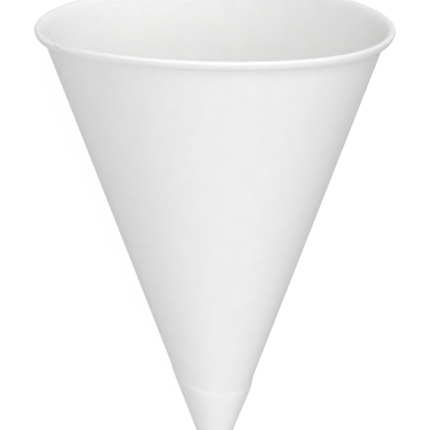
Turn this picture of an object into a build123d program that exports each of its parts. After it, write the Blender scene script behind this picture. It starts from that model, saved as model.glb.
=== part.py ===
from build123d import *
from math import acos, asin, atan, atan2, cos, degrees, radians, sin, sqrt
import os

# A cone-shaped paper drinking cup, wound from one flat blank and glued.
# It lies on its side. Its mouth is a little out of round, as in real ones.
# All sizes are in millimetres and all angles in degrees.

# The wall
wall_slant = 103.1        # from its sharp point to where the rim starts to roll
mouth_width = 73.4        # across the inside there, side to side as it lies
mouth_height = 66.6       # across the inside there, from the floor side up
paper = 0.20              # thickness of one ply

# The rolled rim
roll_diameter = 1.8
roll_gap = 0.06           # air between one turn of the roll and the next
roll_tuck = 40.0          # how far the sheet runs on past its first full turn

# The blank, laid flat, with angles round the wall's sharp point. It starts at
# the seam edge inside the cup, and is wound clockwise as seen from the mouth.
flap_foot_slant = 19.5    # least distance of its straight outer edge from the point
flap_foot_angle = 215.0   # from the seam edge to that place
blank_angle = 256.0       # from the seam edge to the end of the outer edge

# The tip
nose_radius = 0.6
nose_cover = 0.1          # how deep the solid tip lies inside the outer ply's face
tip_fill = 2.0            # height to which the pressed tip is solid

cutter_overlap = 2.0      # how far a cutter runs past what it cuts
edge_steps = 12           # spans of the curve along which the outer edge is cut

# The wall is four cones that share their point and meet without a crease: two
# narrow ones at the sides and two wide ones below and above. Their axes lean
# off the cup's own axis, by one angle.
side_reach = asin(mouth_width / 2 / wall_slant)
floor_reach = asin(mouth_height / 2 / wall_slant)
lean = (side_reach - floor_reach) / (2 - sqrt(2))
narrow_half_angle = side_reach - lean
wide_half_angle = narrow_half_angle + acos(cos(lean) ** 2)
quarters = 4
quarter_span = 2 * degrees(atan(1 / cos(lean)))


def half_angle(quarter):
    """The half angle of the cone on which a quarter turn of the winding lies."""
    return wide_half_angle if quarter % 2 else narrow_half_angle


def cone_axis(quarter):
    """The axis of that cone, in the sheet's section, pointing to the tip.

    A full turn ends one ply outside the place where it began, so each quarter
    turn's axis lies a quarter of a ply further in than the last one's.
    """
    angle = half_angle(quarter)
    inset = quarter * paper / quarters / cos(angle) ** 2
    return Axis((-inset, 0, 0), (sin(angle), -cos(angle), 0))


def turned(axis, angle):
    """The place that something reaches when it is turned about an axis."""
    return Pos(axis.position) * Location((0, 0, 0), axis.direction, angle) * Pos(-axis.position)


def seam_place():
    """Where the section stands at the seam edge: outward along X, up the wall along Y."""
    wide_axis = Vector(0, -sin(lean), cos(lean))
    narrow_axis = Vector(sin(lean), 0, cos(lean))
    across = Axis((0, 0, 0), wide_axis.cross(narrow_axis))
    up_wall = narrow_axis.rotate(across, degrees(narrow_half_angle))
    outward = up_wall.rotate(across, 90)
    return Plane((0, 0, 0), x_dir=outward, z_dir=outward.cross(up_wall)).location


def quarter_place(quarter):
    """Where the section stands at the start of a quarter turn."""
    place = seam_place()
    for done in range(quarter):
        place = place * turned(cone_axis(done), quarter_span)
    return place


def rolled_face_line(depth):
    """One face of the sheet: straight up the wall, then curled outward."""
    lines = [Line((depth, tip_fill / 2), (depth, wall_slant))]
    for step, turn in enumerate((180, 180, roll_tuck)):
        radius = roll_diameter / 2 - depth - step * (paper + roll_gap) / 2
        lines.append(JernArc(lines[-1] @ 1, lines[-1] % 1, radius, -turn))
    return lines


def rolled_section():
    """The sheet in section, with its rolled rim."""
    inner, outer = rolled_face_line(0), rolled_face_line(paper)
    ends = [Line(inner[0] @ 0, outer[0] @ 0), Line(inner[-1] @ 1, outer[-1] @ 1)]
    return make_face([*inner, *outer, *ends])


def flap_section():
    """The outer ply in section, glued half into the ply that it covers."""
    low, high = (-paper / 2, tip_fill / 2), (paper, wall_slant)
    return make_face(Polyline(low, (high[0], low[1]), high, (low[0], high[1]), close=True))


def wind(section, quarter):
    """Sweeps a section through one quarter turn of the winding."""
    return quarter_place(quarter) * revolve(section, cone_axis(quarter), quarter_span)


def start_angle(quarter):
    """The flat blank's angle at the start of a quarter turn."""
    return sum(quarter_span * sin(half_angle(done)) for done in range(quarter))


def edge_point(quarter, angle, depth):
    """A point of the blank's straight outer edge, on one quarter's cone."""
    slant = flap_foot_slant / cos(radians(angle - flap_foot_angle))
    turn = (angle - start_angle(quarter)) / sin(half_angle(quarter))
    place = quarter_place(quarter) * turned(cone_axis(quarter), turn)
    return (place * Pos(depth, slant, 0)).position


def edge_cutter(quarter, start, end):
    """A ruled strip square to the wall, along the edge between two angles."""
    angles = [start + (end - start) * step / edge_steps for step in range(edge_steps + 1)]
    edges = [
        Spline(*[edge_point(quarter, angle, depth) for angle in angles])
        for depth in (-2 * paper, 2 * paper)
    ]
    return Face.make_surface_from_curves(*edges)


def flap(quarter):
    """A quarter turn of the outer ply, cut off at the blank's outer edge."""
    start, end = start_angle(quarter), min(start_angle(quarter + 1), blank_angle)
    turn = (end - start) / sin(half_angle(quarter))
    sheet = quarter_place(quarter) * revolve(flap_section(), cone_axis(quarter), turn)
    rim_angle = flap_foot_angle - degrees(acos(flap_foot_slant / (wall_slant + cutter_overlap)))
    margin = degrees(cutter_overlap / wall_slant)
    cutter = edge_cutter(quarter, max(start - margin, rim_angle), end + margin)
    return sheet.solid().split(cutter, keep=Keep.ALL).sort_by(Axis.Z)[0]


def nose():
    """The pressed tip: solid, and rounded off just inside the outer ply's face."""
    middle = side_reach / 2 + floor_reach / 2
    slope = Vector(sin(middle), cos(middle))
    out = Vector(cos(middle), -sin(middle))
    face_point = Vector(0, (nose_cover - 2 * paper) / sin(middle))
    centre = face_point + Vector(0, nose_radius / sin(middle))
    tangent = centre + out * nose_radius
    top = face_point + slope * ((tip_fill - face_point.Y) / slope.Y)
    low = centre - Vector(0, nose_radius)
    round_end = RadiusArc(low, tangent, -nose_radius)
    outline = Polyline(tangent, top, (0, tip_fill), low)
    return revolve(Plane.XZ * make_face([round_end, *outline.edges()]), Axis.Z)


def cup_upright():
    """The whole cup on the Z axis, with its wall's sharp point at the origin."""
    plies = [wind(rolled_section(), quarter) for quarter in range(quarters)]
    quarter = quarters
    while start_angle(quarter) < blank_angle:
        plies.append(flap(quarter))
        quarter += 1
    return nose().fuse(*plies)


def resting_place(cup):
    """The section that faces the floor when the cup has come to rest.

    The cup rolls on the wide quarter below it until its mass, heavier on the
    side where the plies lap, is right above the line on which it lies.
    """
    wide, start = cone_axis(1), quarter_place(1)
    mass_centre = (start.inverse() * Pos(cup.center(CenterOf.MASS))).position
    off_axis = mass_centre - wide.position
    level = wide.direction.cross(Vector(0, 0, 1))
    turn = degrees(atan2(off_axis.Z, off_axis.dot(-level)))
    return start * turned(wide, turn)


def lying(cup):
    """The cup on its side: held up by its roll and by the outer ply at the tip."""
    roll_centre = Vector(roll_diameter / 2, wall_slant)
    tip_corner = Vector(2 * paper, tip_fill / 2)
    along = roll_centre - tip_corner
    angle = atan2(along.X, along.Y) + asin(roll_diameter / 2 / along.length)
    floor_line, up = Vector(sin(angle), cos(angle)), Vector(-cos(angle), sin(angle))
    bed = resting_place(cup) * Plane((0, 0, 0), x_dir=floor_line, z_dir=up).location
    laid = bed.inverse() * cup
    box = laid.bounding_box()
    return Pos(-box.center().X, -box.center().Y, -box.min.Z) * laid


os.makedirs("parts", exist_ok=True)
export_step(lying(cup_upright()), "parts/cone_cup.step")
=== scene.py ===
from math import acos, asin, atan, atan2, cos, degrees, exp, hypot, pi, radians, sin, sqrt

import bmesh
import bpy
from mathutils import Matrix, Vector


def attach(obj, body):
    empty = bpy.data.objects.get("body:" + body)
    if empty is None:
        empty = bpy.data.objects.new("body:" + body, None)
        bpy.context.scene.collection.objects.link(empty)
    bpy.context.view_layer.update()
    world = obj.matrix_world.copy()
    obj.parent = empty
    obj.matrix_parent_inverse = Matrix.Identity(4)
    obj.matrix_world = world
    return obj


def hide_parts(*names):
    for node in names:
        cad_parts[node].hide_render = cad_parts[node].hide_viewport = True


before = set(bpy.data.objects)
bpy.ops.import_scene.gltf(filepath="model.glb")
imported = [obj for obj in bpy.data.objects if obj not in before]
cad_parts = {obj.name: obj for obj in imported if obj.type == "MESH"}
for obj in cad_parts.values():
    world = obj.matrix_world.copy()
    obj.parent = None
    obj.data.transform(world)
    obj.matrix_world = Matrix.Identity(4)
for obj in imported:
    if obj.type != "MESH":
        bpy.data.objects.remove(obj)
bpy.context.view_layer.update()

# The cup is one flat blank of white cup paper, cut straight along its outer edge,
# wound clockwise into a cone, glued where its plies lap, and rolled over at the rim.
# The paper's own thickness is modelled, so every edge of it shows.
MM = 0.001
wall_slant = 103.1 * MM       # along the wall, from its sharp point to the mouth
mouth_width = 73.4 * MM       # across the inside there, side to side as it lies
mouth_height = 66.6 * MM      # across the inside there, from the floor side up
paper = 0.20 * MM             # thickness of one ply
tip_slant = 1.0 * MM          # where the plies start, inside the pressed tip

# The blank, laid flat, with angles in degrees round the wall's sharp point. It
# starts at the seam edge inside the cup.
flap_foot_slant = 19.5 * MM   # least distance of its outer edge from the point
flap_foot_angle = 215.0       # from the seam edge to that place
blank_angle = 256.0           # from the seam edge to the end of the outer edge

# The rim in section, each part with its length and its turn: the wall flares,
# goes over the crown and the shoulder, down the flattened face and round the
# hem, and ends tucked in beside the wall.
flare_start = 101.72 * MM
flare_radius, flare_turn = 5.5 * MM, radians(16)
crown_radius, crown_turn = 1.0 * MM, radians(74)
shoulder_radius, shoulder_turn = 0.5 * MM, radians(83)
face_tall, face_turn = 1.82 * MM, radians(38)
hem_radius = 0.28 * MM
hem_turn = 2 * pi - crown_turn - shoulder_turn - face_turn
tuck = 0.9 * MM
flare_length = flare_radius * flare_turn
rim_parts = (
    (flare_length, flare_turn),
    (crown_radius * crown_turn, crown_turn),
    (shoulder_radius * shoulder_turn, shoulder_turn),
    (face_tall, face_turn),
    (hem_radius * hem_turn, hem_turn),
    (tuck, 0),
)
roll_start = flare_start + flare_length

# The wall is four cones that share their point and meet without a crease: two
# narrow ones at the sides and two wide ones below and above. A full turn ends
# one ply outside the place where it began.
quarters = 4                  # in a full turn
quarters_wound = 9            # in all, the last of them in part
side_reach = asin(mouth_width / 2 / wall_slant)
floor_reach = asin(mouth_height / 2 / wall_slant)
lean = (side_reach - floor_reach) / (2 - sqrt(2))
narrow_half_angle = side_reach - lean
wide_half_angle = narrow_half_angle + acos(cos(lean) ** 2)
quarter_span = 2 * degrees(atan(1 / cos(lean)))


def half_angle(quarter):
    """The half angle of the cone on which a quarter turn of the winding lies."""
    return wide_half_angle if quarter % 2 else narrow_half_angle


def start_angle(quarter):
    """The flat blank's angle at the start of a quarter turn."""
    return sum(quarter_span * sin(half_angle(done)) for done in range(quarter))


def turned(quarter, turn):
    """A turn of the sheet's section, in degrees, about the axis of that cone."""
    angle = half_angle(quarter)
    inset = Vector((-quarter * paper / quarters / cos(angle) ** 2, 0, 0))
    axis = Vector((sin(angle), -cos(angle), 0))
    about = Matrix.Translation(inset)
    return about @ Matrix.Rotation(radians(turn), 4, axis) @ about.inverted()


wide_axis = Vector((0, -sin(lean), cos(lean)))
narrow_axis = Vector((sin(lean), 0, cos(lean)))
across = wide_axis.cross(narrow_axis).normalized()
up_wall = Matrix.Rotation(narrow_half_angle, 3, across) @ narrow_axis
outward = Matrix.Rotation(pi / 2, 3, across) @ up_wall
seam_place = Matrix((outward, up_wall, outward.cross(up_wall))).transposed().to_4x4()
quarter_places = [seam_place]
for quarter in range(quarters_wound - 1):
    quarter_places.append(quarter_places[-1] @ turned(quarter, quarter_span))
first_turn = start_angle(quarters)

# The rolled edge is lapped too. The roll of the sheet's outer side ends on a
# slant over the roll of the side that starts below it, and both sag there. Each
# sag has a depth, and the degrees along the rim over which it fades.
lap_slope = 2.585 / MM        # degrees along the rim, for the way over the roll
lap_level = 0.96 * MM         # how far over the rim the slant crosses the seam
lap_last = 3.77 * MM          # and how far over the rim it ends
lap_reach = 14.0              # degrees along which the paper is drawn out for it
lap_under = 0.9               # degrees by which the lower roll runs on below
lap_proud = 0.28 * MM         # how far the upper roll stands out over the lower
end_sag, end_sag_reach = 0.65 * MM, 5.5
start_sag, start_sag_reach = 0.75 * MM, 18.0
tongue_sag, tongue_sag_reach = 0.33 * MM, 3.0
droop, droop_angle, droop_span = 0.5 * MM, 9.5, 4.5
sag_depth = 9.0 * MM          # how far down the wall the sagging dies out

# The outer edge is pressed flat into the ply below it. Where the wrap is
# slack, at the right of the picture, both plies stand a little proud.
press_width = 1.1 * MM
press_left = 0.2              # share of the thickness that still stands out
press_cuts = 4                # rows of points across the pressed strip
slack_rise = 0.30 * MM
slack_angle, slack_span = 66.0, 9.0
slack_low, slack_full, slack_top = 10.0 * MM, 19.0 * MM, 23.0 * MM


def ease(share):
    """A soft step from 0 to 1."""
    share = min(1.0, max(0.0, share))
    return share * share * (3 - 2 * share)


def curl(slant, depth):
    """The sheet in section: out, height and heading at a place along it."""
    out, height, heading = 0.0, min(slant, flare_start), 0.0
    rest = max(0.0, slant - flare_start)
    for length, turn in rim_parts:
        step = min(rest, length)
        rest -= step
        if turn:
            radius = length / turn
            out += radius * cos(heading)
            height -= radius * sin(heading)
            heading += step / radius
            out -= radius * cos(heading)
            height += radius * sin(heading)
        else:
            out += step * sin(heading)
            height += step * cos(heading)
    return out + depth * cos(heading), height - depth * sin(heading), heading


def slack_out(slant, angle):
    """How far the slack wrap stands out from the cone."""
    slack = exp(-(((angle % first_turn) - slack_angle) / slack_span) ** 2)
    slack *= ease((slant - slack_low) / (slack_full - slack_low))
    return slack_rise * slack * ease((slack_top - slant) / (slack_top - slack_full))


def rim_sag(slant, angle, heading):
    """How far the rim sinks near the two ends of the rolled edge."""
    at_crown = (1 + sin(heading)) / 2
    if angle > first_turn / 2:
        sag = at_crown * end_sag * ease(1 - abs(first_turn - angle) / end_sag_reach)
    else:
        sag = start_sag * ease(1 - angle / start_sag_reach)
        sag += tongue_sag * ease(1 - angle / tongue_sag_reach)
        hang = (1 - at_crown) * droop * exp(-((angle - droop_angle) / droop_span) ** 2)
        sag = at_crown * sag + hang
    return sag * ease(1 - (roll_start - slant) / sag_depth)


def lap_shift(slant, angle):
    """How far the lapped roll moves: outward, and in degrees along the rim."""
    travel = slant - roll_start
    skew = lap_slope * (min(travel, lap_last) - lap_level)
    rolled = min(1.0, travel / lap_level)
    if angle > first_turn / 2:
        from_end = (first_turn - angle) / lap_reach
        return lap_proud * ease(1 - from_end) * rolled, -skew * max(0.0, 1 - from_end)
    return 0.0, -(max(0.0, skew) + lap_under * rolled) * max(0.0, 1 - angle / lap_reach)


def wound(flat):
    """Where a point of the flat blank comes to lie in the cup."""
    slant, depth = hypot(flat.x, flat.y), flat.z
    angle = degrees(atan2(flat.y, flat.x)) % 360
    out, height, heading = curl(slant, depth)
    if angle > first_turn and slant < roll_start:
        in_edge = flap_foot_slant - slant * cos(radians(angle - flap_foot_angle))
        out *= press_left + (1 - press_left) * ease(in_edge / press_width)
    out += slack_out(slant, angle)
    height -= rim_sag(slant, angle, heading)
    if slant > roll_start:
        proud, along = lap_shift(slant, angle)
        out += proud
        angle += along
    quarter = 0
    while quarter < quarters_wound - 1 and angle > start_angle(quarter + 1):
        quarter += 1
    turn = (angle - start_angle(quarter)) / sin(half_angle(quarter))
    return quarter_places[quarter] @ turned(quarter, turn) @ Vector((out, height, 0))


# The blank as a flat mesh, with its points close together where it will bend.
wall_steps = (
    2, 3.5, 5, 7, 9, 11, 13, 15, 17, 19, 21, 23, 25, 27.5, 30,
    36, 44, 52, 60, 68, 76, 84, 90, 95, 99, 101.5,
)
flare_steps = 5
rim_steps = (8, 10, 8, 14, 2)
first_turn_steps = 200
lap_steps = 216
same_place = 1e-7
slants = [tip_slant, *[step * MM for step in wall_steps]]
slants += [flare_start + flare_length * step / flare_steps for step in range(flare_steps)]
slants.append(roll_start)
for (length, turn), steps in zip(rim_parts[1:], rim_steps):
    slants += [slants[-1] + length * (step + 1) / steps for step in range(steps)]

blank = bmesh.new()
line = [blank.verts.new((slant, 0, 0)) for slant in slants]
edge = [blank.edges.new(pair) for pair in zip(line, line[1:])]
swept = bmesh.ops.spin(
    blank, geom=[*line, *edge], cent=(0, 0, 0), axis=(0, 0, 1),
    angle=radians(first_turn), steps=first_turn_steps,
)["geom_last"]
wall_verts = [
    item for item in swept
    if isinstance(item, bmesh.types.BMVert) and item.co.length < roll_start + same_place
]
wall_edges = [
    item for item in swept
    if isinstance(item, bmesh.types.BMEdge) and all(vert in wall_verts for vert in item.verts)
]
bmesh.ops.spin(
    blank, geom=[*wall_verts, *wall_edges], cent=(0, 0, 0), axis=(0, 0, 1),
    angle=radians(blank_angle - first_turn), steps=lap_steps,
)
foot = Vector((cos(radians(flap_foot_angle)), sin(radians(flap_foot_angle)), 0))
for cut in range(press_cuts + 1):
    bmesh.ops.bisect_plane(
        blank, geom=[*blank.verts, *blank.edges, *blank.faces],
        plane_co=foot * (flap_foot_slant - cut / press_cuts * press_width),
        plane_no=foot, clear_outer=cut == 0,
    )
thick = bmesh.ops.extrude_face_region(blank, geom=list(blank.faces))["geom"]
outer_face = [item for item in thick if isinstance(item, bmesh.types.BMVert)]
bmesh.ops.translate(blank, vec=(0, 0, paper), verts=outer_face)
for vert in blank.verts:
    vert.co = wound(vert.co)
bmesh.ops.recalc_face_normals(blank, faces=blank.faces)

# The pressed tip is solid paper, rounded off just inside the outer ply.
nose_radius = 0.6 * MM
nose_top = 2.0 * MM
nose_cover = 0.1 * MM         # how deep it lies inside the outer ply's face
nose_arc, nose_bend = 7, 10   # steps up the round end, and degrees in each
nose_steps = 48
middle = (side_reach + floor_reach) / 2
face_height = (nose_cover - 2 * paper) / sin(middle)
centre_height = face_height + nose_radius / sin(middle)
nose_points = []
for step in range(nose_arc + 1):
    bend = radians(step * nose_bend)
    nose_points.append((nose_radius * sin(bend), 0, centre_height - nose_radius * cos(bend)))
nose_points.append(((nose_top - face_height) * sin(middle) / cos(middle), 0, nose_top))
nose_points.append((0, 0, nose_top))
nose_line = [blank.verts.new(point) for point in nose_points]
nose_edge = [blank.edges.new(pair) for pair in zip(nose_line, nose_line[1:])]
bmesh.ops.spin(
    blank, geom=[*nose_line, *nose_edge], cent=(0, 0, 0), axis=(0, 0, 1),
    angle=2 * pi, steps=nose_steps, use_merge=True,
)
poles = [vert for vert in blank.verts if vert.co.xy.length < same_place]
bmesh.ops.remove_doubles(blank, verts=poles, dist=same_place)
nose_faces = [face for face in blank.faces if face.calc_center_median().length < nose_top]
bmesh.ops.recalc_face_normals(blank, faces=nose_faces)

# The cup was wound standing on its point. It lies on its side, held up by its
# rolled rim at one end and by its point at the other.
sharp_point = Vector((-52.1153, 3.5715, 0.3866)) * MM
lying_turns = (radians(-2.2444), radians(69.6654), radians(52.9598))
lying = (
    Matrix.Translation(sharp_point)
    @ Matrix.Rotation(lying_turns[0], 4, "Z")
    @ Matrix.Rotation(lying_turns[1], 4, "Y")
    @ Matrix.Rotation(lying_turns[2], 4, "Z")
)
bmesh.ops.transform(blank, matrix=lying, verts=blank.verts)
bmesh.ops.recalc_face_normals(blank, faces=blank.faces)

sharp_from = radians(38)      # the paper's cut edges stay sharp, its bends smooth
cup_mesh = bpy.data.meshes.new("paper_cup")
blank.to_mesh(cup_mesh)
blank.free()
cup_mesh.shade_smooth()
cup_mesh.set_sharp_from_angle(angle=sharp_from)
cup = bpy.data.objects.new("paper_cup", cup_mesh)
bpy.context.collection.objects.link(cup)

# White cup paper: matt, a little cloudy, with a faint grain of fibres.
gloss = 0.12
thin_white = (0.868, 0.869, 0.864, 1)
thick_white = (0.892, 0.892, 0.888, 1)
cloud_scale, cloud_detail, cloud_roughness = 260, 5, 0.6
cloud_low, cloud_high = 0.3, 0.7
fibre_scale, fibre_detail = 2600, 3
fibre_strength, fibre_height = 0.25, 0.03 * MM
smoothest, roughest = 0.62, 0.78
cup_paper = bpy.data.materials.new("cup_paper")
cup_paper.use_nodes = True
nodes, links = cup_paper.node_tree.nodes, cup_paper.node_tree.links
shader = nodes["Principled BSDF"]
shader.inputs["Specular IOR Level"].default_value = gloss
place = nodes.new("ShaderNodeTexCoord")
clouds = nodes.new("ShaderNodeTexNoise")
clouds.inputs["Scale"].default_value = cloud_scale
clouds.inputs["Detail"].default_value = cloud_detail
clouds.inputs["Roughness"].default_value = cloud_roughness
links.new(place.outputs["Object"], clouds.inputs["Vector"])
tone = nodes.new("ShaderNodeValToRGB")
for stop, position, colour in zip(
    tone.color_ramp.elements, (cloud_low, cloud_high), (thin_white, thick_white)
):
    stop.position = position
    stop.color = colour
links.new(clouds.outputs["Fac"], tone.inputs["Fac"])
links.new(tone.outputs["Color"], shader.inputs["Base Color"])
fibres = nodes.new("ShaderNodeTexNoise")
fibres.inputs["Scale"].default_value = fibre_scale
fibres.inputs["Detail"].default_value = fibre_detail
links.new(place.outputs["Object"], fibres.inputs["Vector"])
matt = nodes.new("ShaderNodeMapRange")
matt.inputs["To Min"].default_value = smoothest
matt.inputs["To Max"].default_value = roughest
links.new(fibres.outputs["Fac"], matt.inputs["Value"])
links.new(matt.outputs["Result"], shader.inputs["Roughness"])
grain = nodes.new("ShaderNodeBump")
grain.inputs["Strength"].default_value = fibre_strength
grain.inputs["Distance"].default_value = fibre_height
links.new(fibres.outputs["Fac"], grain.inputs["Height"])
links.new(grain.outputs["Normal"], shader.inputs["Normal"])
cup_mesh.materials.append(cup_paper)

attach(cup, "root")
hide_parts("cone_cup")

# The camera looks at the cup along the photograph's line of sight, which comes
# down at nearly 15 degrees to the plane of the mouth when the cup is upright.
# It is fitted to the photograph's outline of the wall and the rim.
view_azimuth = radians(105.5)
view_rise = radians(14.55)
view_roll = radians(-0.086)
view_distance = 3.0
lens_length = 1184.5          # in millimetres, as is the sensor's width
sensor_width = 36
clip_near, clip_far = 0.5, 8
aim_height = 55.82 * MM       # up the cup's own axis from its sharp point
aim_right = 0.07 * MM
to_right = Vector((-sin(view_azimuth), cos(view_azimuth), 0))
to_camera = Vector((
    cos(view_rise) * cos(view_azimuth), cos(view_rise) * sin(view_azimuth), sin(view_rise)
))
to_top = to_camera.cross(to_right)
picture = lying.to_3x3() @ Matrix((to_right, to_top, to_camera)).transposed()
aim = lying @ (Vector((0, 0, aim_height)) + to_right * aim_right)
eye = aim + picture.col[2] * view_distance
framing = (picture @ Matrix.Rotation(view_roll, 3, "Z")).to_4x4()
camera = bpy.data.objects.new("camera", bpy.data.cameras.new("camera"))
camera.data.lens = lens_length
camera.data.sensor_width = sensor_width
camera.data.clip_start = clip_near
camera.data.clip_end = clip_far
camera.matrix_world = Matrix.Translation(eye) @ framing
bpy.context.collection.objects.link(camera)
bpy.context.scene.camera = camera

# The floor is plain and pale, and keeps the cup's soft shadow. To the camera it
# is mostly bright by itself, and it sends only a dim light up to the cup.
floor_radius = 3.0
floor_corners = 96
floor_grey = (0.4, 0.4, 0.4, 1)
floor_bright = 1.24
floor_bright_share = 0.75
floor_disc = bmesh.new()
bmesh.ops.create_circle(
    floor_disc, cap_ends=True, radius=floor_radius, segments=floor_corners
)
floor_mesh = bpy.data.meshes.new("floor")
floor_disc.to_mesh(floor_mesh)
floor_disc.free()
floor = bpy.data.objects.new("floor", floor_mesh)
bpy.context.collection.objects.link(floor)


def looked_at(nodes, links):
    """1 for the rays of the camera, of gloss and of glass, and 0 for plain light."""
    rays = nodes.new("ShaderNodeLightPath")
    shown = rays.outputs["Is Camera Ray"]
    for kind in ("Is Glossy Ray", "Is Transmission Ray"):
        either = nodes.new("ShaderNodeMath")
        either.operation = "MAXIMUM"
        links.new(shown, either.inputs[0])
        links.new(rays.outputs[kind], either.inputs[1])
        shown = either.outputs[0]
    return shown


floor_white = bpy.data.materials.new("floor_white")
floor_white.use_nodes = True
nodes, links = floor_white.node_tree.nodes, floor_white.node_tree.links
nodes.clear()
output = nodes.new("ShaderNodeOutputMaterial")
lit = nodes.new("ShaderNodeBsdfDiffuse")
lit.inputs["Color"].default_value = floor_grey
bright = nodes.new("ShaderNodeEmission")
bright.inputs["Strength"].default_value = floor_bright
mix = nodes.new("ShaderNodeMixShader")
share = nodes.new("ShaderNodeMath")
share.operation = "MULTIPLY"
share.inputs[1].default_value = floor_bright_share
links.new(looked_at(nodes, links), share.inputs[0])
links.new(share.outputs[0], mix.inputs["Fac"])
links.new(lit.outputs[0], mix.inputs[1])
links.new(bright.outputs[0], mix.inputs[2])
links.new(mix.outputs[0], output.inputs["Surface"])
floor_mesh.materials.append(floor_white)

# The room round the floor is plain white to the camera, and gives the cup an
# even light from all sides at less than half that strength.
room_light = 0.45
world = bpy.data.worlds.new("room")
bpy.context.scene.world = world
world.use_nodes = True
nodes, links = world.node_tree.nodes, world.node_tree.links
ambient = nodes["Background"]
ambient.inputs["Color"].default_value = (1, 1, 1, 1)
ambient.inputs["Strength"].default_value = room_light
white = nodes.new("ShaderNodeBackground")
white.inputs["Color"].default_value = (1, 1, 1, 1)
mix = nodes.new("ShaderNodeMixShader")
links.new(looked_at(nodes, links), mix.inputs["Fac"])
links.new(ambient.outputs[0], mix.inputs[1])
links.new(white.outputs[0], mix.inputs[2])
links.new(mix.outputs[0], nodes["World Output"].inputs["Surface"])

# Six soft round lamps stand in for the photograph's studio light. Each has its
# direction by the picture's right, top and near side, and its power in watts.
lamp_width = 0.6
lamp_distance = 1.6
lamps = {
    "low_left": ((-0.346, -0.574, 0.742), 7.1),
    "near": ((0, 0, 1), 3.3),
    "right": ((0.766, 0, 0.643), 3.7),
    "upper_right": ((0.366, 0.5, 0.785), 4.7),
    "high_left": ((-0.383, 0.866, 0.321), 4.0),
    "high_right": ((0.211, 0.866, 0.453), 3.3),
}
for name, (direction, power) in lamps.items():
    lamp = bpy.data.objects.new(name, bpy.data.lights.new(name, "AREA"))
    lamp.data.shape = "DISK"
    lamp.data.size = lamp_width
    lamp.data.energy = power
    toward = (picture @ Vector(direction)).normalized()
    lamp.location = aim + toward * lamp_distance
    lamp.rotation_euler = toward.to_track_quat("Z", "Y").to_euler()
    lamp.visible_camera = False
    bpy.context.collection.objects.link(lamp)

scene = bpy.context.scene
scene.view_settings.view_transform = "Standard"
